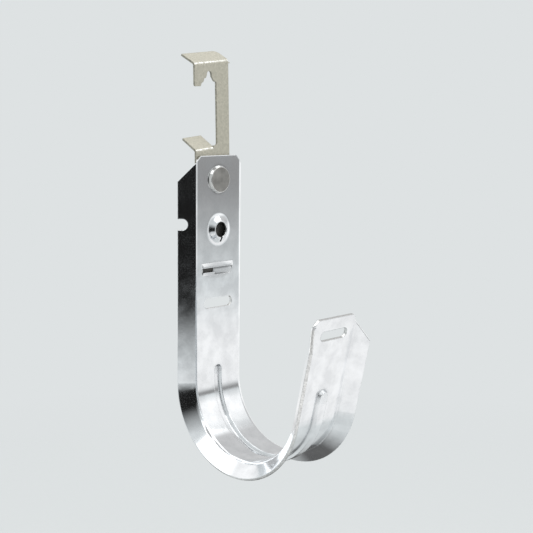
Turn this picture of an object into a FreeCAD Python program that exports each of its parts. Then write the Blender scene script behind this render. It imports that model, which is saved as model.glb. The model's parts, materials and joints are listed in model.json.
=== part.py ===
"""J hook cable support: a folded steel hook riveted to a spring steel hanger clip.

Millimetres, Z up, X outwards from the upright back, Y across the strip.
The loop's centre line is the hook's own reference; the finished part is moved so that
its origin lies where the hanger's notch bears on what it hangs from.
"""
import FreeCAD, Part
import math
import os
import Sketcher
from FreeCAD import Placement, Rotation, Vector

SIZES = (
    ("strip_thick", 1.2, "thickness of the hook's strip"),
    ("loop_radius", 25.4, "inner radius of the loop, for a 2 inch bundle"),
    ("tip_lean", 12.4, "degrees the tip leans outwards from upright"),
    ("back_height", 87.3, "top edge of the upright back above the loop's centre"),
    ("tip_length", 38.8, "straight length of the tip above the loop"),
    ("fold_half", 12.0, "half the width between the two fold lines"),
    ("flange_width", 7.05, "width of each folded edge"),
    ("flange_angle", 45.0, "degrees the edges are folded away from the cables"),
    ("fold_inner", 1.2, "inner radius of the fold"),
    ("end_half", 9.5, "half the width of the square part of both ends"),
    ("notch_drop", 25.9, "centre of the edge notches below the back's top edge"),
    ("notch_half", 2.07, "half the width of an edge notch"),
    ("notch_depth", 3.85, "depth of an edge notch from the flange's edge"),
    ("rivet_drop", 9.2, "rivet below the back's top edge"),
    ("rivet_radius", 2.5, "radius of the rivet's shank"),
    ("rivet_play", 0.05, "gap round the shank"),
    ("head_base", 5.4, "radius of the rivet's head where it sits"),
    ("head_face", 4.9, "radius of the rivet's flat face"),
    ("head_tall", 1.25, "height of the rivet's head"),
    ("head_edge", 0.35, "radius round the face of the rivet's head"),
    ("tail_radius", 4.4, "radius of the closed end of the rivet"),
    ("tail_tall", 1.5, "height of the closed end of the rivet"),
    ("tail_edge", 0.9, "radius round the closed end of the rivet"),
    ("dimple_drop", 28.4, "centre of the raised hole below the back's top edge"),
    ("dimple_base", 5.6, "radius where the raised hole's cone would meet the back"),
    ("dimple_edge", 6.6, "radius where the raised hole leaves the back"),
    ("dimple_sweep", 2.8, "radius between the back and the cone"),
    ("dimple_hole", 2.85, "radius of the raised hole"),
    ("dimple_rise", 1.9, "height of the raised hole's rim"),
    ("dimple_rim", 0.4, "radius round the raised hole's rim"),
    ("slit_turn", 6.0, "degrees the slit below the raised hole is turned"),
    ("slit_half", 0.45, "half the width of the slit below the raised hole"),
    ("slit_far", 4.9, "foot of the slit from the middle of the raised hole"),
    ("lance_drop", 44.45, "centre of the lance below the back's top edge"),
    ("lance_left", 8.5, "left end of the lance from the middle"),
    ("lance_right", 7.3, "right end of the lance from the middle"),
    ("lance_half", 1.4, "half the height of the lance"),
    ("step_left", 2.1, "left end of the pressed back step from the middle"),
    ("step_depth", 0.9, "how far the step's left end is pressed back"),
    ("sill_tall", 1.15, "height of the sill below the gap"),
    ("sill_rise", 0.45, "how far the sill's edge stands forward"),
    ("step_tilt", 0.22, "how far the step's upper half leans back over its height"),
    ("lip_rise", 0.4, "how far the lip over the lance stands forward"),
    ("lip_tall", 1.9, "height over which the lip runs out"),
    ("lip_crest", 0.6, "height of the lip's flat edge"),
    ("lip_end", 0.6, "width over which the lip's ends run out"),
    ("back_slot_drop", 57.0, "centre of the strap slot below the back's top edge"),
    ("back_slot_length", 15.1, "length of the strap slot in the back"),
    ("tip_slot_drop", 6.5, "centre of the tip's strap slot below its end"),
    ("tip_slot_length", 14.6, "length of the tip's strap slot"),
    ("slot_half", 1.9, "half the width of both strap slots"),
    ("bead_top", 3.6, "middle of the bead's round end on the back, above the loop"),
    ("bead_tip", 8.2, "middle of the bead's round end on the tip, above the loop"),
    ("bead_depth", 1.2, "depth of the stiffening bead"),
    ("bead_floor", 1.3, "half the width of the groove's floor"),
    ("bead_wall", 60.0, "degrees the bead's walls lean from the strip"),
    ("bead_past", 0.2, "how far the groove's cutter stands off the strip"),
    ("clip_thick", 0.8, "thickness of the hanger clip"),
    ("clip_turn", 1.5, "degrees the clip is turned on its rivet"),
    ("clip_left", 10.65, "clip's left edge from the rivet"),
    ("clip_right", 7.2, "clip's right edge from the rivet"),
    ("leg_drop", 39.5, "bottom of the clip's leg below the rivet"),
    ("leg_round", 3.0, "radius at the leg's lower corners"),
    ("relief_drop", 31.5, "top of the leg's relief below the rivet"),
    ("relief_left", 3.4, "relief's edge from the rivet's line"),
    ("stem_left", 0.66, "inner edge of the clip's stem from the rivet"),
    ("gap_floor", 12.95, "bottom of the clip's opening above the rivet"),
    ("gap_round", 1.0, "radius at the foot of the stem"),
    ("bend_skew", 4.2, "degrees the two bend lines rise to the right"),
    ("bend_inner", 0.8, "inner radius of the clip's bends"),
    ("bend_lap", 0.4, "how far a bend's foot laps over the web"),
    ("low_bend", 12.35, "lower bend above the rivet, at the rivet's line"),
    ("low_tab_length", 8.1, "length of the lower tab"),
    ("low_tab_angle", 33.0, "degrees the lower tab rises from level"),
    ("low_tab_right", 1.2, "lower tab's right edge left of the rivet's line"),
    ("top_bend", 44.8, "upper bend above the rivet, at the rivet's line"),
    ("top_tab_length", 7.5, "length of the upper tab"),
    ("top_tab_angle", 27.5, "degrees the upper tab rises from level"),
    ("top_tab_right", 7.9, "upper tab's right edge from the rivet"),
    ("top_tab_round", 2.2, "radius of the upper tab's outer right corner"),
    ("jaw_floor", 35.4, "bottom of the clip's jaw above the rivet"),
    ("jaw_inner", 7.6, "jaw's inner corner left of the rivet's line"),
    ("jaw_round", 0.7, "radius at the jaw's outer corner"),
    ("tooth_rise", 1.27, "height of one of the notch's steps"),
    ("tooth_lean", 0.55, "how far a step leans in over its height"),
    ("tread_run", 0.87, "width of one of the notch's treads"),
    ("tread_rise", 0.31, "how far a tread rises over its width"),
    ("notch_top", 41.0, "top of the notch above the rivet"),
    ("notch_left", 3.07, "top of the notch left of the rivet's line"),
    ("crown_half", 1.08, "half the width of the notch's round top"),
    ("notch_round", 1.0, "radius at the top of the notch"),
    ("knee_height", 38.9, "knee of the notch's smooth side above the rivet"),
    ("knee_left", 1.68, "knee of the smooth side left of the rivet's line"),
    ("notch_foot", 37.1, "foot of the notch's smooth side above the rivet"),
    ("notch_foot_left", 0.35, "foot of the smooth side left of the rivet's line"),
    ("notch_foot_round", 0.8, "radius at the knee and the foot of the smooth side"),
    ("gap_roof", 36.9, "top of the clip's opening beside the stem"),
)
TEETH = 3
RIGHT_ANGLE = 90
HALF_TURN = 180
FULL_TURN = 360
UP = Vector(0, 0, 1)
VALUE = {name: value for name, value, meaning in SIZES}
doc = FreeCAD.newDocument("j_hook_cable_support")


class Size:
    """A length or angle that knows its value and its formula in the sheet."""

    def __init__(self, value, text=None):
        self.value = value
        self.text = text or repr(float(value))

    def joined(self, other, sign, value):
        return Size(value, f"({self.text} {sign} {size(other).text})")

    def __add__(self, other):
        return self.joined(other, "+", self.value + size(other).value)

    def __sub__(self, other):
        return self.joined(other, "-", self.value - size(other).value)

    def __mul__(self, other):
        return self.joined(other, "*", self.value * size(other).value)

    def __truediv__(self, other):
        return self.joined(other, "/", self.value / size(other).value)

    def __neg__(self):
        return self * -1


def size(number):
    return number if isinstance(number, Size) else Size(number)


def cell(name):
    return Size(VALUE[name], f"Sizes.{name}")


def sine(angle):
    return Size(math.sin(math.radians(angle.value)), f"sin({angle.text})")


def cosine(angle):
    return Size(math.cos(math.radians(angle.value)), f"cos({angle.text})")


def tangent(angle):
    return Size(math.tan(math.radians(angle.value)), f"tan({angle.text})")


def write_sheet():
    sheet = doc.addObject("Spreadsheet::Sheet", "Sizes")
    for row, (name, value, meaning) in enumerate(SIZES, 1):
        sheet.set(f"A{row}", str(value))
        sheet.setAlias(f"A{row}", name)
        sheet.set(f"B{row}", meaning)
    doc.recompute()


def bind(thing, path, amount):
    """Let a property follow the sheet."""
    thing.setExpression(path, size(amount).text)


def sketch_on(body, role, name, base=(0, 0, 0), axis=(0, 0, 1), angle=0):
    """A sketch on one of the body's own planes, moved and turned in that plane's axes."""
    sketch = body.newObject("Sketcher::SketchObject", name)
    plane = next(item for item in body.Origin.OriginFeatures if item.Role == role)
    place(sketch, plane, base, axis, angle)
    return sketch


def place(item, plane, base=(0, 0, 0), axis=(0, 0, 1), angle=0):
    base = [size(part) for part in base]
    angle = size(angle)
    item.AttachmentSupport = [(plane, "")]
    item.MapMode = "FlatFace"
    turn = Rotation(Vector(*axis), angle.value)
    item.AttachmentOffset = Placement(Vector(*[part.value for part in base]), turn)
    for letter, part in zip("xyz", base):
        bind(item, f"AttachmentOffset.Base.{letter}", part)
    if angle.value:
        bind(item, "AttachmentOffset.Rotation.Angle", angle)


def limit(sketch, *words):
    """Add a constraint; a Size as its last word drives it."""
    *words, last = words
    if isinstance(last, Size):
        index = sketch.addConstraint(Sketcher.Constraint(*words, last.value))
        bind(sketch, f"Constraints[{index}]", last)
    else:
        sketch.addConstraint(Sketcher.Constraint(*words, last))


def pin(sketch, shape, point, across, up):
    """Fix a sketch point at two sizes from the sketch's origin."""
    limit(sketch, "DistanceX", shape, point, size(across))
    limit(sketch, "DistanceY", shape, point, size(up))


def spot(corner):
    return Vector(size(corner[0]).value, size(corner[1]).value, 0)


def rounding(before, corner, after, radius):
    """Entry, exit, centre and turn of the arc that rounds a corner."""
    back = (before - corner).normalize()
    ahead = (after - corner).normalize()
    half = back.getAngle(ahead) / 2
    reach = radius / math.tan(half)
    centre = corner + (back + ahead).normalize() * (radius / math.sin(half))
    turn = 1 if back.cross(ahead).z < 0 else -1
    return corner + back * reach, corner + ahead * reach, centre, turn


def outline(sketch, corners):
    """A closed outline through corners (across, up) or (across, up, radius)."""
    spots = [spot(corner) for corner in corners]
    count = len(corners)
    ways = []
    for i, corner in enumerate(corners):
        if len(corner) == 3:
            radius = size(corner[2]).value
            ways.append(rounding(spots[i - 1], spots[i], spots[(i + 1) % count], radius))
        else:
            ways.append((spots[i], spots[i], None, 0))
    edges = []
    for i in range(count):
        edge = Part.LineSegment(ways[i][1], ways[(i + 1) % count][0])
        edges.append(sketch.addGeometry(edge, False))
    for i, corner in enumerate(corners):
        entry, leave, centre, turn = ways[i]
        coming, going = edges[i - 1], edges[i]
        if not turn:
            limit(sketch, "Coincident", coming, 2, going, 1)
            pin(sketch, going, 1, corner[0], corner[1])
            continue
        round_corner(sketch, corner, ways[i], coming, going)


def round_corner(sketch, corner, way, coming, going):
    entry, leave, centre, turn = way
    circle = Part.Circle(centre, UP, size(corner[2]).value)
    first, last = (entry, leave) if turn > 0 else (leave, entry)
    start = math.atan2(first.y - centre.y, first.x - centre.x)
    stop = math.atan2(last.y - centre.y, last.x - centre.x)
    arc = sketch.addGeometry(Part.ArcOfCircle(circle, start, stop), False)
    enters, leaves = (1, 2) if turn > 0 else (2, 1)
    limit(sketch, "Tangent", coming, 2, arc, enters)
    limit(sketch, "Tangent", arc, leaves, going, 1)
    limit(sketch, "Radius", arc, size(corner[2]))
    point = sketch.addGeometry(Part.Point(spot(corner)), True)
    pin(sketch, point, 1, corner[0], corner[1])
    limit(sketch, "PointOnObject", point, 1, coming)
    limit(sketch, "PointOnObject", point, 1, going)


def disc(sketch, across, up, radius):
    """A full circle."""
    circle = Part.Circle(spot((across, up)), UP, size(radius).value)
    shape = sketch.addGeometry(circle, False)
    pin(sketch, shape, 3, across, up)
    limit(sketch, "Radius", shape, size(radius))


def arc(sketch, centre, radius, start, stop):
    """An arc from one spot to the other, counter-clockwise."""
    middle = spot(centre)
    ends = [spot(end) - middle for end in (start, stop)]
    angles = [math.atan2(end.y, end.x) for end in ends]
    circle = Part.Circle(middle, UP, size(radius).value)
    shape = sketch.addGeometry(Part.ArcOfCircle(circle, *angles), False)
    limit(sketch, "Radius", shape, size(radius))
    return shape


def long_hole(sketch, across, up, length, half):
    """A slot with round ends, lying across the sketch."""
    reach = length / 2 - half
    right = arc(sketch, (across + reach, up), half,
                (across + reach, up - half), (across + reach, up + half))
    left = arc(sketch, (across - reach, up), half,
               (across - reach, up + half), (across - reach, up - half))
    pin(sketch, right, 3, across + reach, up)
    pin(sketch, left, 3, across - reach, up)
    for side, shape, other in ((1, right, left), (-1, left, right)):
        start = spot((across + reach * side, up + half * side))
        stop = spot((across - reach * side, up + half * side))
        edge = sketch.addGeometry(Part.LineSegment(start, stop), False)
        limit(sketch, "Tangent", shape, 2, edge, 1)
        limit(sketch, "Coincident", edge, 2, other, 1)


def volume(body):
    return 0 if body.Shape.isNull() else body.Shape.Volume


def grow(body, feature, profile, takes=False, **links):
    """Add a feature, rebuild, and make sure that it added or took away material."""
    before = volume(body)
    made = body.newObject(f"PartDesign::{feature}", f"{profile.Name}_{feature.lower()}")
    made.Profile = profile
    profile.Visibility = False
    for name, value in links.items():
        if isinstance(value, Size):
            bind(made, name, value)
        else:
            setattr(made, name, value)
    doc.recompute()
    change = volume(body) - before
    if (change >= 0) if takes else (change <= 0):
        raise RuntimeError(f"{made.Name} changes the volume by {change}")
    return made


def carve(body, profile, reach):
    """Cut a sketch's outline through, to the same reach on both of its sides."""
    return grow(body, "Pocket", profile, True, SideType="Symmetric", Length=reach * 2)


thick = cell("strip_thick")
radius = cell("loop_radius")
lean = cell("tip_lean")
back = cell("back_height")
fold = cell("fold_half")
flange = cell("flange_width")
flare = cell("flange_angle")
foot_x = radius + radius * cosine(lean)
foot_z = -(radius * sine(lean))
rivet_z = back - cell("rivet_drop")
rivet_hole = cell("rivet_radius") + cell("rivet_play")
through = thick * 2
clip = cell("clip_thick")
turned = cell("clip_turn")


def notch_peak():
    """Where the hanger's notch bears, from the loop's centre."""
    across = -cell("notch_left")
    up = cell("notch_top")
    y = across * cosine(turned) - up * sine(turned)
    z = rivet_z + across * sine(turned) + up * cosine(turned)
    return -(thick + clip / 2), y, z


def new_body(name, at=(0, 0, 0), angle=0):
    """A piece whose own zero lies at a spot of the hook, moved to the part's origin."""
    body = doc.addObject("PartDesign::Body", name)
    body.Label = name
    spots = [size(here) - peak for here, peak in zip(at, notch_peak())]
    turn = Rotation(Vector(1, 0, 0), size(angle).value)
    body.Placement = Placement(Vector(*[here.value for here in spots]), turn)
    for letter, here in zip("xyz", spots):
        bind(body, f"Placement.Base.{letter}", here)
    if size(angle).value:
        bind(body, "Placement.Rotation.Angle", angle)
    return body


def strip_section(sketch):
    """The folded strip seen along its length, with its outer side towards minus X."""
    edge_y = fold + flange * cosine(flare)
    edge_x = -(flange * sine(flare))
    inner = cell("fold_inner")
    inner_fold = fold - thick * tangent(flare / 2)
    half = [
        (0, fold, inner + thick),
        (edge_x, edge_y),
        (edge_x - thick * cosine(flare), edge_y - thick * sine(flare)),
        (-thick, inner_fold, inner),
    ]
    mirrored = [(corner[0], -corner[1], *corner[2:]) for corner in reversed(half)]
    outline(sketch, half + mirrored)


def hook_path(sketch, top, reach):
    """From a height on the back, round the loop and up the tip, on the strip's inner face."""
    upright = sketch.addGeometry(Part.LineSegment(spot((0, top)), Vector(0, 0, 0)), False)
    loop = arc(sketch, (radius, 0), radius, (0, 0), (foot_x, foot_z))
    end = (foot_x + reach * sine(lean), foot_z + reach * cosine(lean))
    tip = sketch.addGeometry(Part.LineSegment(spot((foot_x, foot_z)), spot(end)), False)
    pin(sketch, upright, 1, 0, top)
    pin(sketch, upright, 2, 0, 0)
    limit(sketch, "Tangent", upright, 2, loop, 1)
    limit(sketch, "Tangent", loop, 2, tip, 1)
    pin(sketch, tip, 2, *end)


def end_cuts(body):
    """The cut corners of both ends and the notch, on the right side, then mirrored."""
    end = cell("end_half")
    drop = fold - end
    spare = flange
    tip_length = cell("tip_length")
    tip_plane = body.newObject("PartDesign::Plane", "tip_plane")
    yz_plane = next(item for item in body.Origin.OriginFeatures if item.Role == "YZ_Plane")
    place(tip_plane, yz_plane, (0, foot_z, foot_x), (1, 0, 0), lean)
    doc.recompute()
    cuts = []
    for name, plane, top, tilt in (("back", yz_plane, back, flare),
                                   ("tip", tip_plane, tip_length, -flare)):
        web = body.newObject("Sketcher::SketchObject", f"{name}_corner")
        place(web, plane)
        outline(web, [(end, top), (fold, top - drop), (fold, top + spare), (end, top + spare)])
        cuts.append(carve(body, web, through))
        side = body.newObject("Sketcher::SketchObject", f"{name}_edge_corner")
        place(side, plane, (fold, 0, 0), (0, 1, 0), tilt)
        outline(side, [(0, top - drop), (flange + spare, top - drop - flange - spare),
                       (flange + spare, top + spare), (0, top + spare)])
        cuts.append(carve(body, side, through))
    notch = sketch_on(body, "YZ_Plane", "edge_notch", (fold, 0, 0), (0, 1, 0), flare)
    half = cell("notch_half")
    length = cell("notch_depth") * 2
    long_hole(notch, flange, back - cell("notch_drop"), length, half)
    cuts.append(carve(body, notch, through))
    mirror = body.newObject("PartDesign::Mirrored", "left_side")
    mirror.Originals = cuts
    xz_plane = next(item for item in body.Origin.OriginFeatures if item.Role == "XZ_Plane")
    mirror.MirrorPlane = (xz_plane, [""])
    body.Tip = mirror
    doc.recompute()
    return tip_plane


def strap_slots(body, tip_plane):
    back_slot = sketch_on(body, "YZ_Plane", "back_slot")
    half = cell("slot_half")
    height = back - cell("back_slot_drop")
    long_hole(back_slot, size(0), height, cell("back_slot_length"), half)
    carve(body, back_slot, through)
    tip_slot = body.newObject("Sketcher::SketchObject", "tip_slot")
    place(tip_slot, tip_plane)
    height = cell("tip_length") - cell("tip_slot_drop")
    long_hole(tip_slot, size(0), height, cell("tip_slot_length"), half)
    carve(body, tip_slot, through)
    hole = sketch_on(body, "YZ_Plane", "rivet_hole")
    disc(hole, 0, rivet_z, rivet_hole)
    carve(body, hole, through)


def raised_hole(body):
    """A hole pressed forward in a cone, torn open by a short slit below."""
    height = back - cell("dimple_drop")
    edge = cell("dimple_edge")
    base = cell("dimple_base")
    hole = cell("dimple_hole")
    rise = cell("dimple_rise")
    sweep = cell("dimple_sweep")
    blank = sketch_on(body, "YZ_Plane", "dimple_blank")
    disc(blank, 0, height, edge)
    carve(body, blank, through)
    cone = sketch_on(body, "XZ_Plane", "cone", (0, height, 0))
    outline(cone, [(0, edge), (0, base, sweep), (rise, hole, cell("dimple_rim")),
                   (rise - thick, hole), (-thick, base, sweep - thick), (-thick, edge)])
    grow(body, "Revolution", cone, ReferenceAxis=(cone, ["H_Axis"]), Angle=size(FULL_TURN))
    half = cell("slit_half")
    slit = sketch_on(body, "YZ_Plane", "slit", (0, height, 0), (0, 0, 1), cell("slit_turn"))
    foot = -cell("slit_far")
    rim = -(hole - half)
    outline(slit, [(-half, foot), (half, foot), (half, rim), (-half, rim)])
    carve(body, slit, through)


def frustum(body, name, depth, grows):
    """The lip's ramp: a wide foot on one plane and a narrow crest on the next."""
    left = -cell("lance_left")
    right = cell("lance_right")
    edge = back - cell("lance_drop") + cell("lance_half")
    spread = cell("lip_end")
    foot = sketch_on(body, "YZ_Plane", f"{name}_foot", (0, 0, depth))
    outline(foot, [(left - spread, edge), (right + spread, edge),
                   (right + spread, edge + cell("lip_tall")),
                   (left - spread, edge + cell("lip_tall"))])
    crest = sketch_on(body, "YZ_Plane", f"{name}_crest", (0, 0, depth + cell("lip_rise")))
    outline(crest, [(left + spread, edge), (right - spread, edge),
                    (right - spread, edge + cell("lip_crest")),
                    (left + spread, edge + cell("lip_crest"))])
    kind = "AdditiveLoft" if grows else "SubtractiveLoft"
    grow(body, kind, foot, not grows, Sections=[crest], Ruled=True)


def lance(body):
    """A gap between a raised lip and a sill, closed on the right by a pressed back step."""
    frustum(body, "lip", size(0), True)
    frustum(body, "lip_hollow", -thick, False)
    low = back - cell("lance_drop") - cell("lance_half")
    high = low + cell("lance_half") * 2
    left = cell("lance_left")
    right = cell("lance_right")
    gap = sketch_on(body, "YZ_Plane", "lance_gap")
    outline(gap, [(-left, low), (right, low), (right, high), (-left, high)])
    carve(body, gap, through)
    middle = cell("step_left")
    dip = cell("step_depth")
    waist = low + cell("lance_half")
    steps = []
    for name, level, tilt in (("step_foot", low, size(0)), ("step_waist", waist, size(0)),
                              ("step_top", high, cell("step_tilt"))):
        step = sketch_on(body, "XY_Plane", name, (0, 0, level))
        outline(step, [(-tilt, right), (-(dip + tilt), -middle),
                       (-(dip + tilt + thick), -middle), (-(tilt + thick), right)])
        steps.append(step)
    grow(body, "Pad", steps[0], Length=cell("lance_half"))
    grow(body, "AdditiveLoft", steps[1], Sections=[steps[2]], Ruled=True)
    sill = sketch_on(body, "XZ_Plane", "lance_sill", (0, 0, middle))
    brow = cell("sill_rise")
    top = low + cell("sill_tall")
    outline(sill, [(0, low), (brow, top), (brow - thick, top), (-thick, low)])
    grow(body, "Pad", sill, Length=left - middle)


def bead_half(outwards, raised):
    """Half of the bead's section; outwards is 1 or -1, the sense of the strip's outer side."""
    depth = cell("bead_depth")
    floor = cell("bead_floor")
    wall = cell("bead_wall")
    if not raised:
        mouth = floor + depth / tangent(wall)
        return [(cell("bead_past") * -outwards, mouth), (0, mouth), (depth * outwards, floor)]
    crest = floor + thick * tangent(wall / 2)
    foot = crest + depth / tangent(wall)
    return [(thick * outwards / 2, foot), (thick * outwards, foot),
            ((thick + depth) * outwards, crest)]


def bead_end(body, name, raised, place_of_end, turn, outwards):
    """One round end of the bead, turned about the line that goes square through the strip."""
    profile = sketch_on(body, "XZ_Plane", name, (*place_of_end, 0), (0, 0, 1), turn)
    half = bead_half(outwards, raised)
    outline(profile, [(half[0][0], 0), *half, (half[-1][0], 0)])
    kind = "Revolution" if raised else "Groove"
    grow(body, kind, profile, not raised, ReferenceAxis=(profile, ["H_Axis"]),
         Midplane=True, Angle=size(HALF_TURN))


def stiffening_bead(body):
    """A groove pressed outwards round the loop, with a ridge behind it and round ends."""
    top = cell("bead_top")
    reach = cell("bead_tip")
    tip_end = (foot_x + reach * sine(lean), foot_z + reach * cosine(lean))
    for name, raised in (("ridge", True), ("groove", False)):
        path = sketch_on(body, "XZ_Plane", f"{name}_path")
        hook_path(path, top, reach)
        section = sketch_on(body, "XY_Plane", name, (0, 0, top))
        half = bead_half(-1, raised)
        outline(section, half + [(across, -up) for across, up in reversed(half)])
        doc.recompute()
        kind = "AdditivePipe" if raised else "SubtractivePipe"
        grow(body, kind, section, not raised, Spine=(path, ["Edge1", "Edge2", "Edge3"]))
        bead_end(body, f"{name}_top", raised, (0, top), 0, -1)
        bead_end(body, f"{name}_tip", raised, tip_end, -lean, 1)


def build_hook():
    body = new_body("j_hook")
    path = sketch_on(body, "XZ_Plane", "hook_path")
    hook_path(path, back, cell("tip_length"))
    section = sketch_on(body, "XY_Plane", "strip", (0, 0, back))
    strip_section(section)
    doc.recompute()
    grow(body, "AdditivePipe", section, Spine=(path, ["Edge1", "Edge2", "Edge3"]))
    stiffening_bead(body)
    tip_plane = end_cuts(body)
    strap_slots(body, tip_plane)
    raised_hole(body)
    lance(body)


def bend_foot(height, angle, across):
    """Height at which the flat web ends below a bend, at a place across the clip."""
    skew = cell("bend_skew")
    reach = (cell("bend_inner") + clip) * tangent((-angle + RIGHT_ANGLE) / 2)
    return height + across * tangent(skew) - reach / cosine(skew)


def web_outline():
    """The clip's flat web: leg, stem, and jaw with its stepped notch."""
    left = -cell("clip_left")
    right = cell("clip_right")
    bottom = -cell("leg_drop")
    relief_y = -cell("relief_left")
    relief_z = -cell("relief_drop")
    stem = cell("stem_left")
    low_right = -cell("low_tab_right")
    low = (cell("low_bend"), cell("low_tab_angle"))
    top = (cell("top_bend"), cell("top_tab_angle"))
    corners = [
        (left, bottom, cell("leg_round")),
        (relief_y, bottom),
        (relief_y, relief_z),
        (right, relief_z, cell("leg_round")),
        (right, bend_foot(*top, right)),
        (left, bend_foot(*top, left)),
        (left, cell("jaw_floor"), cell("jaw_round")),
    ]
    y = -cell("jaw_inner")
    z = cell("jaw_floor")
    corners.append((y, z))
    for tooth in range(TEETH):
        y = y + cell("tooth_lean")
        z = z + cell("tooth_rise")
        corners.append((y, z))
        if tooth < TEETH - 1:
            y = y + cell("tread_run")
            z = z + cell("tread_rise")
            corners.append((y, z))
    crown = (cell("notch_top"), cell("notch_round"))
    corners += [
        (-(cell("notch_left") + cell("crown_half")), *crown),
        (-(cell("notch_left") - cell("crown_half")), *crown),
        (-cell("knee_left"), cell("knee_height"), cell("notch_foot_round")),
        (-cell("notch_foot_left"), cell("notch_foot"), cell("notch_foot_round")),
        (stem, cell("gap_roof")),
        (stem, cell("gap_floor"), cell("gap_round")),
        (low_right, cell("gap_floor")),
        (low_right, bend_foot(*low, low_right)),
        (left, bend_foot(*low, left)),
    ]
    return corners


def bent_tab(body, name, height, angle, length, right):
    """A tab bent back along a line that rises to the right."""
    skew = cell("bend_skew")
    bend = -angle + RIGHT_ANGLE
    inner = cell("bend_inner")
    start = height * cosine(skew)
    low = start - (inner + clip) * tangent(bend / 2) - cell("bend_lap")
    far = (-(length * cosine(angle)), start + length * sine(angle))
    section = sketch_on(body, "XZ_Plane", name, (0, 0, 0), (1, 0, 0), skew)
    outline(section, [
        (0, low),
        (0, start, inner + clip),
        far,
        (far[0] - clip * sine(angle), far[1] - clip * cosine(angle)),
        (-clip, start - clip * tangent(bend / 2), inner),
        (-clip, low),
    ])
    shift = height * sine(skew)
    left = cell("clip_left") / cosine(skew) + shift
    grow(body, "Pad", section, SideType="Two sides", Length=left - shift * 2,
         Length2=right / cosine(skew) + shift)


def trim_upper_tab(body):
    """Cut the upper tab flush with the web, and round its outer right corner."""
    right = cell("clip_right")
    foot = bend_foot(cell("top_bend"), cell("top_tab_angle"), right)
    spare = cell("top_tab_length") * 2
    trim = sketch_on(body, "YZ_Plane", "upper_tab_trim")
    outline(trim, [(right, foot), (right + spare, foot), (right + spare, foot + spare),
                   (right, foot + spare)])
    carve(body, trim, spare)
    trimmed = body.Tip
    outermost = Vector(-1, 1, 1)
    reaches = [edge.CenterOfMass.dot(outermost) for edge in trimmed.Shape.Edges]
    number = reaches.index(max(reaches)) + 1
    rounded = body.newObject("PartDesign::Fillet", "upper_tab_corner")
    rounded.Base = (trimmed, [f"Edge{number}"])
    bind(rounded, "Radius", cell("top_tab_round"))
    doc.recompute()


def build_clip():
    body = new_body("hanger_clip", (-thick, 0, rivet_z), turned)
    web = sketch_on(body, "YZ_Plane", "web", (0, 0, -clip))
    outline(web, web_outline())
    grow(body, "Pad", web, Length=clip)
    bent_tab(body, "lower_tab", cell("low_bend"), cell("low_tab_angle"),
             cell("low_tab_length"), -cell("low_tab_right"))
    bent_tab(body, "upper_tab", cell("top_bend"), cell("top_tab_angle"),
             cell("top_tab_length"), cell("top_tab_right"))
    trim_upper_tab(body)
    hole = sketch_on(body, "YZ_Plane", "clip_rivet_hole")
    disc(hole, 0, 0, rivet_hole)
    carve(body, hole, clip * 2)


def build_rivet():
    body = new_body("rivet", (0, 0, rivet_z))
    profile = sketch_on(body, "XZ_Plane", "rivet_profile")
    shank = cell("rivet_radius")
    back_face = -(thick + clip)
    tail = back_face - cell("tail_tall")
    outline(profile, [
        (cell("head_tall"), 0),
        (cell("head_tall"), cell("head_face"), cell("head_edge")),
        (0, cell("head_base")),
        (0, shank),
        (back_face, shank),
        (back_face, cell("tail_radius")),
        (tail, cell("tail_radius"), cell("tail_edge")),
        (tail, 0),
    ])
    grow(body, "Revolution", profile, ReferenceAxis=(profile, ["H_Axis"]), Angle=size(FULL_TURN))


def write_parts():
    """Check every object and every piece, then write the pieces."""
    doc.recompute()
    for item in doc.Objects:
        if "Invalid" in item.State or "Error" in item.State:
            raise RuntimeError(f"{item.Name} is {item.State}")
    bodies = [item for item in doc.Objects if item.TypeId == "PartDesign::Body"]
    for body in bodies:
        shape = body.Shape
        if shape.isNull() or not shape.isValid() or len(shape.Solids) != 1:
            raise RuntimeError(f"{body.Label} is not one sound solid")
    os.makedirs("parts", exist_ok=True)
    for body in bodies:
        body.Shape.exportStep(f"parts/{body.Label}.step")
        box = body.Shape.BoundBox
        print(body.Label, round(body.Shape.Volume, 1), "mm3", box)


write_sheet()
build_hook()
build_clip()
build_rivet()
write_parts()
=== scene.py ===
import json
import math

import bpy
from mathutils import Matrix, Vector
from mathutils.bvhtree import BVHTree


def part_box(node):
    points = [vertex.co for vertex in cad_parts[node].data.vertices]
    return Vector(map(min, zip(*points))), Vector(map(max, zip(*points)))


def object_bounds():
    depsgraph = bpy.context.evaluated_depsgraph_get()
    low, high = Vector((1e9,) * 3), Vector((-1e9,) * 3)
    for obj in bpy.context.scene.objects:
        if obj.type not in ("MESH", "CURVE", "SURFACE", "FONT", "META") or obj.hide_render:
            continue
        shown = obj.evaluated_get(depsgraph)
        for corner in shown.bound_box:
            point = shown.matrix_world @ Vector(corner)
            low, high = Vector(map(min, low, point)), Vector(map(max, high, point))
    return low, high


bl_info = {
    "name": "J Hook Cable Support",
    "version": (1, 0, 0),
    "blender": (4, 5, 0),
    "location": "View3D > Sidebar > Cable Support",
    "description": "Finishes a riveted J hook and its hanger clip in a plain studio",
    "category": "Object",
}

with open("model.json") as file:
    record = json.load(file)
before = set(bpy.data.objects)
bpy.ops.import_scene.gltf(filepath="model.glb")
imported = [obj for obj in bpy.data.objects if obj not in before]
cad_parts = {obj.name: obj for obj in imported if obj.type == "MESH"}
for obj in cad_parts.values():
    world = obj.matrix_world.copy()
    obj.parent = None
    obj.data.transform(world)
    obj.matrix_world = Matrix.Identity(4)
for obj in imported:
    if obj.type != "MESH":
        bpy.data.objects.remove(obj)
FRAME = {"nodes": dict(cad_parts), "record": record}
CAD_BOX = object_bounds()
MOUNTS = {mount["name"]: mount for mount in FRAME["record"]["mounts"]}
SEAT = Vector(MOUNTS["cable_seat"]["pos_m"])
HOOK_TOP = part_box("j_hook")[1][2]
STRIP_THICK = 0.0012
CLIP_THICK = 0.0008
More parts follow.
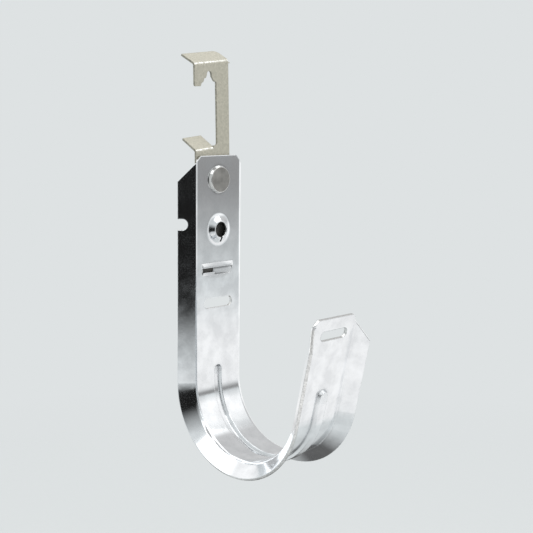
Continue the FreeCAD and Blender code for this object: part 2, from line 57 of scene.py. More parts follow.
# A face with more than this many sheet thicknesses of steel behind it is a cut edge.
CUT_DEPTH = 1.6
# How far inside a face the ray that measures this depth starts.
START_INSIDE = 0.00001
# Where the punch has left the zinc dull, as offsets from the cable seat and half sizes: the
# bead's round ends on the back and on the tip, and the lance, whose darker colour is painted
# shade.
BEAD_ENDS = (
    ((-0.0259, 0, 0.0036), (0.003, 0.003, 0.003)),
    ((0.0277, 0, 0.0024), (0.0042, 0.0042, 0.0042)),
)
LANCE = ((-0.0254, -0.0006, 0.0434), (0.006, 0.0096, 0.0038))
# The hook's cut edges, and the near black of the painted shade that corners turn to.
EDGE_GREYS = ((0.58, 0.58, 0.575), (0.86, 0.86, 0.85))
EDGE_ROUGHNESS = 0.2
PAINTED_SHADE_BLACK = (0.01, 0.01, 0.01)
# Bare steel along the bends where the clip's coat has come off, brighter in part as a painted
# highlight.
RUBBED_AND_HIGHLIT = (0.92, 0.92, 0.90)
RUBBED_ROUGHNESS = 0.15
# Painted shade on the clip's front where the hook's back lies against it and keeps the light
# away.
PAINTED_HIDDEN_SHADE = (0.075, 0.072, 0.066)
# How square to the hook a face of the clip is before it gets that painted shade.
SQUARE_ON = 0.9
# How metallic the clip's coat looks, and on its cut edges the darkest mottling as a share
# of the coat's shade.
COAT_METALLIC = 0.3
THIN_COAT_SHADE = 0.45
# The darkest mottling of the rivet's face, as a share of its colour.
TUMBLED_SHADE = 0.7
SENSOR_WIDTH_MM = 36
FLOOR_SIDES = 64
# The floor's rings: share of its reach, and how much the floor covers there.
FLOOR_RINGS = ((0.4, 1.0), (0.7, 0.5), (1.0, 0.0))


def same_rises(turns, *rises):
    """A card's columns when all of them have the same four rises."""
    return tuple((turn, *rises) for turn in turns)


# Cards hung round the hook: distance and brightness, then for each column its turn and the
# rises between which the card fades in, stays whole and fades out again, in degrees.
CARDS = {
    "dark_cloth": (0.45, 0.012, (
        (-78, -11.5, -7, 12, 36), (-64, -11.5, -7, 12, 36), (-45, -11.5, -7, 12, 36),
        (-20, -11.5, -7, 12, 34), (-4, -11, -7, 9, 24), (14, -11, -6, 6, 14))),
    "left_strip": (0.45, 1.1, same_rises((4, 12, 18, 26), -20, -14, 4, 14)),
    "grey_cloth": (1.15, 0.3, same_rises((26, 36, 54, 62), -7, -0.5, 2, 4)),
    "sky_cloth": (0.5, 0.55, same_rises(
        (-120, -110, -50, 10, 70, 130, 190, 230, 240), 70, 75, 89, 90)),
    "back_card": (0.8, 1.08, same_rises((-188, -178, -150, -138), 14, 26, 50, 58)),
    "roof_cloth": (0.45, 0.45, same_rises((-60, -50, -6, 1), 44, 49, 66, 72)),
    "roof_card": (0.5, 0.85, same_rises((-2, 5, 18, 26), 48, 53, 66, 72)),
    "side_card": (1.6, 1.15, (
        (20, 7, 17, 35, 48), (32, 4, 13, 37, 50), (54, 4, 13, 36, 50),
        (74, 10, 20, 36, 48))),
    "right_strip": (1.0, 1.15, same_rises((62, 76, 122, 136), -24, -18, 2, 10)),
    "wall_card": (1.2, 0.64, (
        (62, -4, 8, 50, 60), (82, -8, 4, 50, 60), (150, -8, 4, 50, 60),
        (175, -4, 8, 48, 60))),
    "low_card": (0.26, 1.0, (
        (-82, -35, -26, -19, -12), (-55, -35, -27, -19, -12), (0, -35, -27, -19, -12),
        (30, -35, -29, -8, -1), (75, -35, -29, -8, -1), (100, -35, -29, -12, -4),
        (160, -32, -28, -14, -4), (180, -32, -28, -16, -8))),
    "side_mat": (0.2, 0.12, same_rises((106, 120, 160, 176), -43, -40, -22, -14)),
    "dark_mat": (0.14, 0.13, (
        (-200, -90, -89.9, -86, -70), (-190, -90, -89.9, -86, -70),
        (-140, -90, -89.9, -87, -74), (-90, -90, -89.9, -87, -72),
        (-45, -90, -89.9, -82, -52), (0, -90, -89.9, -82, -52), (60, -90, -89.9, -80, -44),
        (95, -90, -89.9, -66, -38), (117, -90, -89.9, -60, -30),
        (150, -90, -89.9, -72, -44), (190, -90, -89.9, -84, -64),
        (200, -90, -89.9, -86, -70))),
}


class ZincSettings(bpy.types.PropertyGroup):
    colour: bpy.props.FloatVectorProperty(
        name="Zinc colour", description="Colour of the bright zinc coat",
        default=(0.90, 0.915, 0.93), size=3, subtype="COLOR", min=0, max=1)
    dull: bpy.props.FloatVectorProperty(
        name="Dull colour", description="Colour where the zinc has dulled",
        default=(0.76, 0.775, 0.79), size=3, subtype="COLOR", min=0, max=1)
    smooth: bpy.props.FloatProperty(
        name="Least roughness", description="Roughness of the brightest zinc",
        default=0.07, min=0, max=1, subtype="FACTOR")
    rough: bpy.props.FloatProperty(
        name="Most roughness", description="Roughness of the dullest zinc",
        default=0.14, min=0, max=1, subtype="FACTOR")
    # Painted shade: the lance's darker zinc colour stands in for the shade under its lip.
    lance_painted_shade: bpy.props.FloatVectorProperty(
        name="Lance painted shade", description="Darker zinc colour at the lance, as painted shade",
        default=(0.62, 0.635, 0.65), size=3, subtype="COLOR", min=0, max=1)
    pressed: bpy.props.FloatProperty(
        name="Pressed roughness", description="Roughness where the punch has dulled it",
        default=0.42, min=0, max=1, subtype="FACTOR")
    streaks: bpy.props.FloatProperty(
        name="Streaks", description="How strongly the rolling streaks show",
        default=0.35, min=0, max=1, subtype="FACTOR")


class CoatSettings(bpy.types.PropertyGroup):
    colour: bpy.props.FloatVectorProperty(
        name="Coat colour", description="Colour of the clip's coat",
        default=(0.55, 0.52, 0.43), size=3, subtype="COLOR", min=0, max=1)
    shade: bpy.props.FloatVectorProperty(
        name="Coat shade", description="Darker colour mottled into the coat",
        default=(0.43, 0.41, 0.335), size=3, subtype="COLOR", min=0, max=1)
    roughness: bpy.props.FloatProperty(
        name="Coat roughness", description="Roughness of the clip's coat",
        default=0.36, min=0, max=1, subtype="FACTOR")


class RivetSettings(bpy.types.PropertyGroup):
    colour: bpy.props.FloatVectorProperty(
        name="Rivet colour", description="Colour of the head's tumbled face",
        default=(0.37, 0.36, 0.34), size=3, subtype="COLOR", min=0, max=1)
    rim_colour: bpy.props.FloatVectorProperty(
        name="Rim colour", description="Colour of the head's burnished rim",
        default=(0.66, 0.655, 0.64), size=3, subtype="COLOR", min=0, max=1)
    roughness: bpy.props.FloatProperty(
        name="Face roughness", description="Roughness of the head's tumbled face",
        default=0.4, min=0, max=1, subtype="FACTOR")
    rim_roughness: bpy.props.FloatProperty(
        name="Rim roughness", description="Roughness of the head's burnished rim",
        default=0.12, min=0, max=1, subtype="FACTOR")


class StageSettings(bpy.types.PropertyGroup):
    camera_place: bpy.props.FloatVectorProperty(
        name="Camera place", description="Camera from the middle of the cable loop",
        default=(0.28904, -0.31411, 0.10776), size=3, subtype="TRANSLATION", unit="LENGTH")
    camera_yaw: bpy.props.FloatProperty(
        name="Camera yaw", description="Angle from the hook's outward axis to the view",
        default=math.radians(47.375), subtype="ANGLE", unit="ROTATION")
    camera_pitch: bpy.props.FloatProperty(
        name="Camera pitch", description="How far the camera looks down",
        default=math.radians(8.107), subtype="ANGLE", unit="ROTATION")
    camera_roll: bpy.props.FloatProperty(
        name="Camera roll", description="How far the camera is tipped sideways",
        default=math.radians(0.566), subtype="ANGLE", unit="ROTATION")
    camera_lens: bpy.props.FloatProperty(
        name="Lens", description="Focal length in millimetres on a 36 mm sensor",
        default=78.1, min=10, max=400, unit="CAMERA")
    backdrop: bpy.props.FloatVectorProperty(
        name="Backdrop", description="Colour of the backdrop",
        default=(0.7305, 0.7605, 0.768), size=3, subtype="COLOR", min=0, max=1)
    room: bpy.props.FloatVectorProperty(
        name="Room", description="Soft light from all round that reaches dull surfaces",
        default=(0.72, 0.75, 0.76), size=3, subtype="COLOR", min=0, max=1)
    floor_colour: bpy.props.FloatVectorProperty(
        name="Floor colour", description="Colour of the floor",
        default=(0.57, 0.581, 0.58), size=3, subtype="COLOR", min=0, max=1)
    lamp_distance: bpy.props.FloatProperty(
        name="Lamp distance", description="Soft box from the middle of the cable loop",
        default=1.0, min=0.2, subtype="DISTANCE", unit="LENGTH")
    lamp_side: bpy.props.FloatProperty(
        name="Lamp side", description="Side of the square soft box",
        default=2.0, min=0.1, subtype="DISTANCE", unit="LENGTH")
    lamp_rise: bpy.props.FloatProperty(
        name="Lamp rise", description="Rise of the soft box seen from the middle of the loop",
        default=math.radians(88), subtype="ANGLE", unit="ROTATION")
    lamp_brightness: bpy.props.FloatProperty(
        name="Lamp brightness", description="Brightness of the soft box's face",
        default=1.2, min=0)
    floor_drop: bpy.props.FloatProperty(
        name="Floor drop", description="Floor below the part's lowest point",
        default=0.12, min=0, subtype="DISTANCE", unit="LENGTH")
    floor_reach: bpy.props.FloatProperty(
        name="Floor reach", description="Radius of the floor",
        default=0.6, min=0.1, subtype="DISTANCE", unit="LENGTH")


def settings(name):
    return getattr(bpy.context.scene, name)


def add_node(tree, kind, **values):
    """Add a node; values are its properties, or its inputs by their socket names."""
    node = tree.nodes.new(kind)
    for name, value in values.items():
        if hasattr(node, name):
            setattr(node, name, value)
        else:
            node.inputs[name.replace("_", " ")].default_value = value
    return node


def join(tree, source, target):
    tree.links.new(source, target)


def new_group(name, inputs, outputs):
    """A shader node group with named sockets, and its two end nodes."""
    tree = bpy.data.node_groups.new(name, "ShaderNodeTree")
    for direction, sockets in (("INPUT", inputs), ("OUTPUT", outputs)):
        for label, kind, default in sockets:
            socket = tree.interface.new_socket(label, in_out=direction, socket_type=kind)
            if default is not None:
                socket.default_value = default
    return tree, tree.nodes.new("NodeGroupInput"), tree.nodes.new("NodeGroupOutput")


def place_group(tree, name, **values):
    node = tree.nodes.new("ShaderNodeGroup")
    node.node_tree = bpy.data.node_groups[name]
    for label, value in values.items():
        node.inputs[label.replace("_", " ")].default_value = value
    return node


def make_grain_group():
    """Fine grain and broad cloudiness, stretched along the strip by the Stretch input."""
    tree, given, made = new_group(
        "Sheet grain",
        [("Grain Scale", "NodeSocketFloat", 900.0), ("Cloud Scale", "NodeSocketFloat", 60.0),
         ("Stretch", "NodeSocketFloat", 1.0)],
        [("Grain", "NodeSocketFloat", None), ("Cloud", "NodeSocketFloat", None)])
    place = add_node(tree, "ShaderNodeTexCoord")
    scale = add_node(tree, "ShaderNodeCombineXYZ", Y=1.0)
    join(tree, given.outputs["Stretch"], scale.inputs["X"])
    join(tree, given.outputs["Stretch"], scale.inputs["Z"])
    stretched = add_node(tree, "ShaderNodeVectorMath", operation="MULTIPLY")
    join(tree, place.outputs["Object"], stretched.inputs[0])
    join(tree, scale.outputs["Vector"], stretched.inputs[1])
    grain = add_node(tree, "ShaderNodeTexNoise", Detail=3.0, Roughness=0.6)
    cloud = add_node(tree, "ShaderNodeTexNoise", Detail=3.0, Roughness=0.55)
    join(tree, stretched.outputs["Vector"], grain.inputs["Vector"])
    join(tree, place.outputs["Object"], cloud.inputs["Vector"])
    join(tree, given.outputs["Grain Scale"], grain.inputs["Scale"])
    join(tree, given.outputs["Cloud Scale"], cloud.inputs["Scale"])
    join(tree, grain.outputs["Fac"], made.inputs["Grain"])
    join(tree, cloud.outputs["Fac"], made.inputs["Cloud"])


def make_recess_group():
    """1 in narrow corners and gaps, where shade is painted dark, 0 in the open."""
    tree, given, made = new_group(
        "Recess", [("Reach", "NodeSocketFloat", 0.001)], [("Recess", "NodeSocketFloat", None)])
    corner = add_node(tree, "ShaderNodeAmbientOcclusion", samples=8, only_local=False)
    join(tree, given.outputs["Reach"], corner.inputs["Distance"])
    deep = add_node(tree, "ShaderNodeMapRange", From_Min=0.9, From_Max=0.45)
    join(tree, corner.outputs["AO"], deep.inputs["Value"])
    join(tree, deep.outputs["Result"], made.inputs["Recess"])


def make_shaded_group():
    """A colour with painted shade: it turns dark in corners narrower than the reach."""
    tree, given, made = new_group(
        "Shaded recess",
        [("Colour", "NodeSocketColor", None), ("Reach", "NodeSocketFloat", 0.001),
         ("Depth", "NodeSocketFloat", 0.85)],
        [("Colour", "NodeSocketColor", None)])
    recess = place_group(tree, "Recess")
    join(tree, given.outputs["Reach"], recess.inputs["Reach"])
    amount = add_node(tree, "ShaderNodeMath", operation="MULTIPLY")
    join(tree, recess.outputs["Recess"], amount.inputs[0])
    join(tree, given.outputs["Depth"], amount.inputs[1])
    shaded = add_node(tree, "ShaderNodeMix", data_type="RGBA")
    join(tree, given.outputs["Colour"], shaded.inputs["A"])
    shaded.inputs["B"].default_value = (*PAINTED_SHADE_BLACK, 1)
    join(tree, amount.outputs["Value"], shaded.inputs["Factor"])
    join(tree, shaded.outputs["Result"], made.inputs["Colour"])


def make_relief_group():
    """Fine relief over the surface, and edges that catch the light as if rounded."""
    tree, given, made = new_group(
        "Fine relief",
        [("Height", "NodeSocketFloat", 0.5), ("Strength", "NodeSocketFloat", 0.2),
         ("Distance", "NodeSocketFloat", 0.0001), ("Edge Round", "NodeSocketFloat", 0.0003)],
        [("Normal", "NodeSocketVector", None)])
    bevel = add_node(tree, "ShaderNodeBevel", samples=8)
    join(tree, given.outputs["Edge Round"], bevel.inputs["Radius"])
    bump = add_node(tree, "ShaderNodeBump")
    join(tree, given.outputs["Height"], bump.inputs["Height"])
    join(tree, given.outputs["Strength"], bump.inputs["Strength"])
    join(tree, given.outputs["Distance"], bump.inputs["Distance"])
    join(tree, bevel.outputs["Normal"], bump.inputs["Normal"])
    join(tree, bump.outputs["Normal"], made.inputs["Normal"])


def paint_recess_shade(tree, shader, colour, reach):
    """Give the shader a base colour with painted shade, dark in corners narrower than the reach.
    """
    shaded = place_group(tree, "Shaded recess", Reach=reach)
    join(tree, colour, shaded.inputs["Colour"])
    join(tree, shaded.outputs["Colour"], shader.inputs["Base Color"])


def raise_surface(tree, shader, height, strength, distance, edge_round):
    """Give the shader fine relief and rounded edges."""
    relief = place_group(tree, "Fine relief", Strength=strength, Distance=distance,
                         Edge_Round=edge_round)
    join(tree, height, relief.inputs["Height"])
    join(tree, relief.outputs["Normal"], shader.inputs["Normal"])


def new_material(name):
    material = bpy.data.materials.new(name)
    material.use_nodes = True
    return material, material.node_tree, material.node_tree.nodes["Principled BSDF"]


def span(tree, source, low, high, inside=(0.35, 0.65)):
    """Map a mask's middle range onto low to high."""
    node = add_node(tree, "ShaderNodeMapRange")
    for label, value in (("From Min", inside[0]), ("From Max", inside[1]),
                         ("To Min", low), ("To Max", high)):
        node.inputs[label].default_value = value
    join(tree, source, node.inputs["Value"])
    return node.outputs["Result"]


def blend_colours(tree, factor, first, second):
    node = add_node(tree, "ShaderNodeMix", data_type="RGBA")
    node.inputs["A"].default_value = (*first, 1)
    node.inputs["B"].default_value = (*second, 1)
    join(tree, factor, node.inputs["Factor"])
    return node.outputs["Result"]


def pressed_spots(tree, spots):
    """1 inside the spots, fading to 0 at their rims."""
    place = add_node(tree, "ShaderNodeTexCoord")
    nearest = add_node(tree, "ShaderNodeValue").outputs["Value"]
    nearest.default_value = 1.0
    for offset, half_sizes in spots:
        from_middle = add_node(tree, "ShaderNodeVectorMath", operation="SUBTRACT")
        join(tree, place.outputs["Object"], from_middle.inputs[0])
        from_middle.inputs[1].default_value = SEAT + Vector(offset)
        share = add_node(tree, "ShaderNodeVectorMath", operation="DIVIDE")
        join(tree, from_middle.outputs["Vector"], share.inputs[0])
        share.inputs[1].default_value = half_sizes
        reach = add_node(tree, "ShaderNodeVectorMath", operation="LENGTH")
        join(tree, share.outputs["Vector"], reach.inputs[0])
        least = add_node(tree, "ShaderNodeMath", operation="MINIMUM")
        join(tree, nearest, least.inputs[0])
        join(tree, reach.outputs["Value"], least.inputs[1])
        nearest = least.outputs["Value"]
    return span(tree, nearest, 1, 0, inside=(0.6, 1.0))


def make_zinc():
    chosen = settings("zinc_settings")
    material, tree, shader = new_material("Bright zinc steel")
    shader.inputs["Metallic"].default_value = 1.0
    grain = place_group(tree, "Sheet grain", Grain_Scale=500.0, Cloud_Scale=170.0,
                        Stretch=1 - chosen.streaks)
    colour = blend_colours(tree, span(tree, grain.outputs["Cloud"], 0, 1),
                           chosen.dull, chosen.colour)
    # Painted shade at the lance, in a darker zinc colour.
    lance_shade = add_node(tree, "ShaderNodeMix", data_type="RGBA")
    join(tree, pressed_spots(tree, (LANCE,)), lance_shade.inputs["Factor"])
    join(tree, colour, lance_shade.inputs["A"])
    lance_shade.inputs["B"].default_value = (*chosen.lance_painted_shade, 1)
    # Painted shade in the zinc's narrow corners and gaps.
    paint_recess_shade(tree, shader, lance_shade.outputs["Result"], reach=0.0016)
    rough = add_node(tree, "ShaderNodeMix", data_type="FLOAT")
    join(tree, pressed_spots(tree, (*BEAD_ENDS, LANCE)), rough.inputs["Factor"])
    join(tree, span(tree, grain.outputs["Cloud"], chosen.rough, chosen.smooth),
         rough.inputs["A"])
    rough.inputs["B"].default_value = chosen.pressed
    join(tree, rough.outputs["Result"], shader.inputs["Roughness"])
    raise_surface(tree, shader, grain.outputs["Grain"],
                  strength=0.06, distance=0.0001, edge_round=0.0004)
    return material


def make_sheared_zinc():
    """The hook's cut edges: torn grey steel with a thin wash of zinc."""
    material, tree, shader = new_material("Sheared hook edge")
    shader.inputs["Metallic"].default_value = 1.0
    grain = place_group(tree, "Sheet grain", Grain_Scale=1500.0, Cloud_Scale=300.0)
    colour = blend_colours(tree, span(tree, grain.outputs["Grain"], 0, 1), *EDGE_GREYS)
    # Painted shade in narrow corners along the cut edges.
    paint_recess_shade(tree, shader, colour, reach=0.0012)
    shader.inputs["Roughness"].default_value = EDGE_ROUGHNESS
    raise_surface(tree, shader, grain.outputs["Grain"],
                  strength=0.3, distance=0.0001, edge_round=0.0004)
    return material


def painted_shade_behind_hook(tree):
    """1 on the clip's front face where it lies against the hook's back and gets painted shade."""
    place = add_node(tree, "ShaderNodeTexCoord")
    spot = add_node(tree, "ShaderNodeSeparateXYZ")
    join(tree, place.outputs["Object"], spot.inputs["Vector"])
    facing = add_node(tree, "ShaderNodeSeparateXYZ")
    join(tree, place.outputs["Normal"], facing.inputs["Vector"])
    below = add_node(tree, "ShaderNodeMath", operation="LESS_THAN")
    join(tree, spot.outputs["Z"], below.inputs[0])
    below.inputs[1].default_value = HOOK_TOP - STRIP_THICK
    front = add_node(tree, "ShaderNodeMath", operation="GREATER_THAN")
    join(tree, facing.outputs["X"], front.inputs[0])
    front.inputs[1].default_value = SQUARE_ON
    both = add_node(tree, "ShaderNodeMath", operation="MULTIPLY")
    join(tree, below.outputs["Value"], both.inputs[0])
    join(tree, front.outputs["Value"], both.inputs[1])
    return both.outputs["Value"]


def worn_and_highlit_bends(tree, grain):
    """1 along the crests of the bends that face partly upwards, in specks: bare steel, and partly
    a painted highlight.
    """
    place = add_node(tree, "ShaderNodeTexCoord")
    facing = add_node(tree, "ShaderNodeSeparateXYZ")
    join(tree, place.outputs["Normal"], facing.inputs["Vector"])
    above = span(tree, facing.outputs["Z"], 0, 1, inside=(0.2, 0.4))
    below = span(tree, facing.outputs["Z"], 1, 0, inside=(0.5, 0.75))
    specks = span(tree, grain, 0.2, 1, inside=(0.42, 0.6))
    crest = add_node(tree, "ShaderNodeMath", operation="MULTIPLY")
    join(tree, above, crest.inputs[0])
    join(tree, below, crest.inputs[1])
    worn_and_highlit = add_node(tree, "ShaderNodeMath", operation="MULTIPLY")
    join(tree, crest.outputs["Value"], worn_and_highlit.inputs[0])
    join(tree, specks, worn_and_highlit.inputs[1])
    return worn_and_highlit.outputs["Value"]


def make_coat():
    chosen = settings("coat_settings")
    material, tree, shader = new_material("Grey beige coat")
    grain = place_group(tree, "Sheet grain", Grain_Scale=1400.0, Cloud_Scale=140.0)
    colour = blend_colours(tree, span(tree, grain.outputs["Grain"], 0, 1),
                           chosen.shade, chosen.colour)
    worn_and_highlit = worn_and_highlit_bends(tree, grain.outputs["Grain"])
    # Bare steel on the up-facing bend crests, its brightness partly a painted highlight.
    rubbed_and_highlit = add_node(tree, "ShaderNodeMix", data_type="RGBA")
    rubbed_and_highlit.inputs["B"].default_value = (*RUBBED_AND_HIGHLIT, 1)
    join(tree, colour, rubbed_and_highlit.inputs["A"])
    join(tree, worn_and_highlit, rubbed_and_highlit.inputs["Factor"])
    # Painted shade, near black, on the clip's front behind the hook.
    shaded = add_node(tree, "ShaderNodeMix", data_type="RGBA")
    shaded.inputs["B"].default_value = (*PAINTED_HIDDEN_SHADE, 1)
    join(tree, rubbed_and_highlit.outputs["Result"], shaded.inputs["A"])
    join(tree, painted_shade_behind_hook(tree), shaded.inputs["Factor"])
    join(tree, shaded.outputs["Result"], shader.inputs["Base Color"])
    join(tree, span(tree, worn_and_highlit, COAT_METALLIC, 1, inside=(0, 1)),
         shader.inputs["Metallic"])
    join(tree, span(tree, worn_and_highlit, chosen.roughness, RUBBED_ROUGHNESS, inside=(0, 1)),
         shader.inputs["Roughness"])
    raise_surface(tree, shader, grain.outputs["Grain"],
                  strength=0.25, distance=0.0001, edge_round=0.0003)
    return material


def make_sheared_coat():
    """The clip's cut edges, which the coat covers thinly."""
    chosen = settings("coat_settings")
    material, tree, shader = new_material("Sheared clip edge")
    shader.inputs["Metallic"].default_value = COAT_METALLIC
    grain = place_group(tree, "Sheet grain", Grain_Scale=1400.0, Cloud_Scale=300.0)
    darker = [part * THIN_COAT_SHADE for part in chosen.shade]
    colour = blend_colours(tree, span(tree, grain.outputs["Grain"], 0, 1),
                           darker, chosen.shade)
    join(tree, colour, shader.inputs["Base Color"])
    shader.inputs["Roughness"].default_value = chosen.roughness
    raise_surface(tree, shader, grain.outputs["Grain"],
                  strength=0.3, distance=0.0001, edge_round=0.0003)
    return material


def face_mask(tree):
    """1 on surfaces that face outwards along the rivet's axis, 0 on its sides."""
    place = add_node(tree, "ShaderNodeTexCoord")
    facing = add_node(tree, "ShaderNodeSeparateXYZ")
    join(tree, place.outputs["Normal"], facing.inputs["Vector"])
    return span(tree, facing.outputs["X"], 0, 1, inside=(0.97, 0.995))


def make_rivet_steel():
    chosen = settings("rivet_settings")
    material, tree, shader = new_material("Rivet steel")
    shader.inputs["Metallic"].default_value = 1.0
    grain = place_group(tree, "Sheet grain", Grain_Scale=900.0, Cloud_Scale=300.0)
    face = face_mask(tree)
    mottled = blend_colours(tree, span(tree, grain.outputs["Cloud"], 0, 1),
                            [part * TUMBLED_SHADE for part in chosen.colour],
                            chosen.colour)
    colour = add_node(tree, "ShaderNodeMix", data_type="RGBA")
    colour.inputs["A"].default_value = (*chosen.rim_colour, 1)
    join(tree, mottled, colour.inputs["B"])
    join(tree, face, colour.inputs["Factor"])
    # Painted shade in the rivet's narrow corners.
    paint_recess_shade(tree, shader, colour.outputs["Result"], reach=0.0008)
    rough = span(tree, face, chosen.rim_roughness, chosen.roughness, inside=(0, 1))
    join(tree, rough, shader.inputs["Roughness"])
    raise_surface(tree, shader, grain.outputs["Cloud"],
                  strength=0.1, distance=0.0002, edge_round=0.0002)
    return material


def finish_node(name, *materials):
    mesh = FRAME["nodes"][name].data
    mesh.materials.clear()
    for material in materials:
        mesh.materials.append(material)
    return mesh


def at_bead_end(point):
    """Whether a point is on one of the bead's round ends, whose walls are skin however steep."""
    for offset, half_sizes in BEAD_ENDS:
        apart = point - SEAT - Vector(offset)
        if max(abs(part) / half for part, half in zip(apart, half_sizes)) < 1:
            return True
    return False


def finish_sheet(name, thickness, skin, sheared):
    """Finish a sheet's skin and, where the sheet runs on behind a face, its sheared edge."""
    mesh = finish_node(name, skin, sheared)
    corners = [vertex.co for vertex in mesh.vertices]
    tree = BVHTree.FromPolygons(corners, [face.vertices for face in mesh.polygons])
    for face in mesh.polygons:
        inside = face.center - face.normal * START_INSIDE
        reach = tree.ray_cast(inside, -face.normal)[3]
        cut = reach is not None and reach > CUT_DEPTH * thickness and not at_bead_end(face.center)
        face.material_index = int(cut)


class JHOOK_OT_finish_hook(bpy.types.Operator):
    """Give the folded hook its bright zinc coat."""

    bl_idname = "jhook.finish_hook"
    bl_label = "Finish Hook"

    def execute(self, context):
        finish_sheet("j_hook", STRIP_THICK, make_zinc(), make_sheared_zinc())
        return {"FINISHED"}


class JHOOK_OT_finish_clip(bpy.types.Operator):
    """Give the hanger clip its grey beige coat."""

    bl_idname = "jhook.finish_clip"
    bl_label = "Finish Hanger Clip"

    def execute(self, context):
        finish_sheet("hanger_clip", CLIP_THICK, make_coat(), make_sheared_coat())
        return {"FINISHED"}


class JHOOK_OT_finish_rivet(bpy.types.Operator):
    """Give the rivet its tumbled steel."""

    bl_idname = "jhook.finish_rivet"
    bl_label = "Finish Rivet"

    def execute(self, context):
        finish_node("rivet", make_rivet_steel())
        return {"FINISHED"}


def make_camera():
    chosen = settings("stage_settings")
    yaw, pitch, roll = chosen.camera_yaw, chosen.camera_pitch, chosen.camera_roll
    ahead = Vector((-math.cos(pitch) * math.cos(yaw), math.cos(pitch) * math.sin(yaw),
                    -math.sin(pitch)))
    level = Vector((math.sin(yaw), math.cos(yaw), 0))
    upright = level.cross(ahead)
    right = level * math.cos(roll) + upright * math.sin(roll)
    up = upright * math.cos(roll) - level * math.sin(roll)
    data = bpy.data.cameras.new("Camera")
    data.lens = chosen.camera_lens
    data.sensor_width = SENSOR_WIDTH_MM
    data.clip_start = 0.01
    camera = bpy.data.objects.new("Camera", data)
    bpy.context.scene.collection.objects.link(camera)
    turned = Matrix((right, up, -ahead)).transposed().to_4x4()
    camera.matrix_world = Matrix.Translation(SEAT + Vector(chosen.camera_place)) @ turned
    bpy.context.scene.camera = camera


def seen_or_mirrored(tree):
    """1 for rays from the camera and for mirrored or bent ones."""
    path = add_node(tree, "ShaderNodeLightPath")
    either = add_node(tree, "ShaderNodeMath", operation="MAXIMUM")
    join(tree, path.outputs["Is Glossy Ray"], either.inputs[0])
    join(tree, path.outputs["Is Transmission Ray"], either.inputs[1])
    seen = add_node(tree, "ShaderNodeMath", operation="MAXIMUM")
    join(tree, path.outputs["Is Camera Ray"], seen.inputs[0])
    join(tree, either.outputs["Value"], seen.inputs[1])
    return seen.outputs["Value"]


def make_world():
    chosen = settings("stage_settings")
    world = bpy.data.worlds.new("Studio")
    world.use_nodes = True
    bpy.context.scene.world = world
    tree = world.node_tree
    tree.nodes.clear()
    room = add_node(tree, "ShaderNodeBackground", Color=(*chosen.room, 1), Strength=1.0)
    backdrop = add_node(tree, "ShaderNodeBackground", Color=(*chosen.backdrop, 1), Strength=1.0)
    mixed = add_node(tree, "ShaderNodeMixShader")
    join(tree, seen_or_mirrored(tree), mixed.inputs[0])
    join(tree, room.outputs[0], mixed.inputs[1])
    join(tree, backdrop.outputs[0], mixed.inputs[2])
    output = add_node(tree, "ShaderNodeOutputWorld")
    join(tree, mixed.outputs[0], output.inputs["Surface"])


def bearing(turn, rise, distance):
    """A point this far from the cable's seat, by its turn from +X to +Y and its rise."""
    turn, rise = math.radians(turn), math.radians(rise)
    level = math.cos(rise)
    return SEAT + distance * Vector((level * math.cos(turn), level * math.sin(turn),
                                     math.sin(rise)))


def make_lamp():
    """A square soft box that faces the hook; its brightness is that of its own face."""
    chosen = settings("stage_settings")
    data = bpy.data.lights.new("Overhead", "AREA")
    data.shape = "SQUARE"
    data.size = chosen.lamp_side
    data.energy = chosen.lamp_brightness * math.pi * chosen.lamp_side ** 2
    lamp = bpy.data.objects.new("Overhead", data)
    bpy.context.scene.collection.objects.link(lamp)
    lamp.location = bearing(0, math.degrees(chosen.lamp_rise), chosen.lamp_distance)
    lamp.rotation_euler = (SEAT - lamp.location).to_track_quat("-Z", "Y").to_euler()
    lamp.visible_camera = False


def stage_piece(name, mesh, material):
    mesh.materials.append(material)
    piece = bpy.data.objects.new(name, mesh)
    bpy.context.scene.collection.objects.link(piece)
    return piece


def fade_material(name, colour, glow=0.0):
    """A dull surface that fades out where the mesh's cover falls to nothing."""
    material, tree, shader = new_material(name)
    shader.inputs["Base Color"].default_value = (*colour, 1)
    shader.inputs["Roughness"].default_value = 1.0
    shader.inputs["Specular IOR Level"].default_value = 0.0
    shader.inputs["Emission Color"].default_value = (1, 1, 1, 1)
    shader.inputs["Emission Strength"].default_value = glow
    cover = add_node(tree, "ShaderNodeAttribute", attribute_name="cover")
    join(tree, cover.outputs["Fac"], shader.inputs["Alpha"])
    return material


def hang_card(name, distance, glow, columns):
    """A card round one side of the hook, with soft edges, that only mirrors show."""
    points, cover, faces = [], [], []
    for turn, *rises in columns:
        whole = float(columns[0][0] < turn < columns[-1][0])
        for rise, amount in zip(rises, (0.0, whole, whole, 0.0)):
            points.append(bearing(turn, rise, distance))
            cover.append(amount)
    for column in range(len(columns) - 1):
        for row in range(3):
            first = 4 * column + row
            faces.append((first, first + 4, first + 5, first + 1))
    mesh = bpy.data.meshes.new(name)
    mesh.from_pydata(points, [], faces)
    mesh.attributes.new("cover", "FLOAT", "POINT").data.foreach_set("value", cover)
    card = stage_piece(name, mesh, fade_material(name, (0, 0, 0), glow))
    card.visible_camera = False
    card.visible_diffuse = False
    card.visible_shadow = False


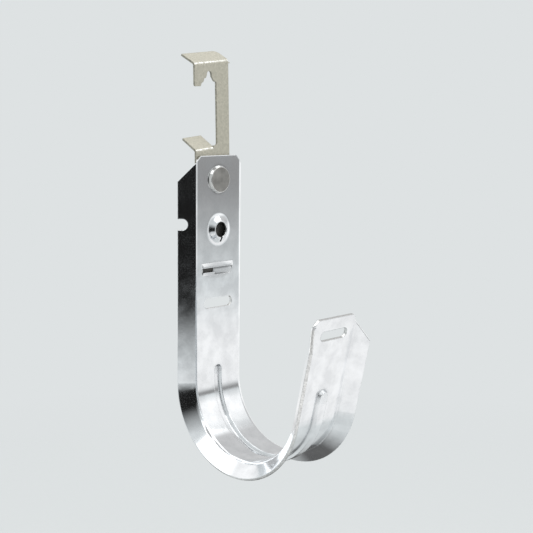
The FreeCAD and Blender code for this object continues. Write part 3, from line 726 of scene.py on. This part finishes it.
def make_floor():
    """A round pale floor below the hook that fades into the backdrop."""
    chosen = settings("stage_settings")
    level = CAD_BOX[0][2] - chosen.floor_drop
    points, cover, faces = [(SEAT.x, SEAT.y, level)], [1.0], []
    for share, amount in FLOOR_RINGS:
        for step in range(FLOOR_SIDES):
            angle = 2 * math.pi * step / FLOOR_SIDES
            points.append((SEAT.x + share * chosen.floor_reach * math.cos(angle),
                           SEAT.y + share * chosen.floor_reach * math.sin(angle), level))
            cover.append(amount)
    for step in range(FLOOR_SIDES):
        after = (step + 1) % FLOOR_SIDES
        faces.append((0, 1 + step, 1 + after))
        for ring in range(len(FLOOR_RINGS) - 1):
            inner, outer = 1 + ring * FLOOR_SIDES, 1 + (ring + 1) * FLOOR_SIDES
            faces.append((inner + step, outer + step, outer + after, inner + after))
    mesh = bpy.data.meshes.new("floor")
    mesh.from_pydata(points, [], faces)
    mesh.attributes.new("cover", "FLOAT", "POINT").data.foreach_set("value", cover)
    stage_piece("floor", mesh, fade_material("Pale floor", chosen.floor_colour))


class JHOOK_OT_set_stage(bpy.types.Operator):
    """Set up the camera, the lamp, the cards, the floor and the backdrop."""

    bl_idname = "jhook.set_stage"
    bl_label = "Set Stage"

    def execute(self, context):
        context.scene.view_settings.view_transform = "Standard"
        make_camera()
        make_world()
        make_floor()
        for name, card in CARDS.items():
            hang_card(name, *card)
        make_lamp()
        return {"FINISHED"}


class JHOOK_PT_panel(bpy.types.Panel):
    bl_label = "Cable Support"
    bl_space_type = "VIEW_3D"
    bl_region_type = "UI"
    bl_category = "Cable Support"

    def draw(self, context):
        for operator in OPERATORS:
            self.layout.operator(operator.bl_idname)


SETTINGS = {
    "zinc_settings": ZincSettings,
    "coat_settings": CoatSettings,
    "rivet_settings": RivetSettings,
    "stage_settings": StageSettings,
}
OPERATORS = (JHOOK_OT_finish_hook, JHOOK_OT_finish_clip, JHOOK_OT_finish_rivet,
             JHOOK_OT_set_stage)


def register():
    for group in (*SETTINGS.values(), *OPERATORS, JHOOK_PT_panel):
        bpy.utils.register_class(group)
    for name, group in SETTINGS.items():
        setattr(bpy.types.Scene, name, bpy.props.PointerProperty(type=group))


def unregister():
    for name in SETTINGS:
        delattr(bpy.types.Scene, name)
    for group in reversed((*SETTINGS.values(), *OPERATORS, JHOOK_PT_panel)):
        bpy.utils.unregister_class(group)


def main():
    register()
    make_grain_group()
    make_recess_group()
    make_shaded_group()
    make_relief_group()
    bpy.ops.jhook.finish_hook()
    bpy.ops.jhook.finish_clip()
    bpy.ops.jhook.finish_rivet()
    bpy.ops.jhook.set_stage()


if __name__ == "__main__":
    main()
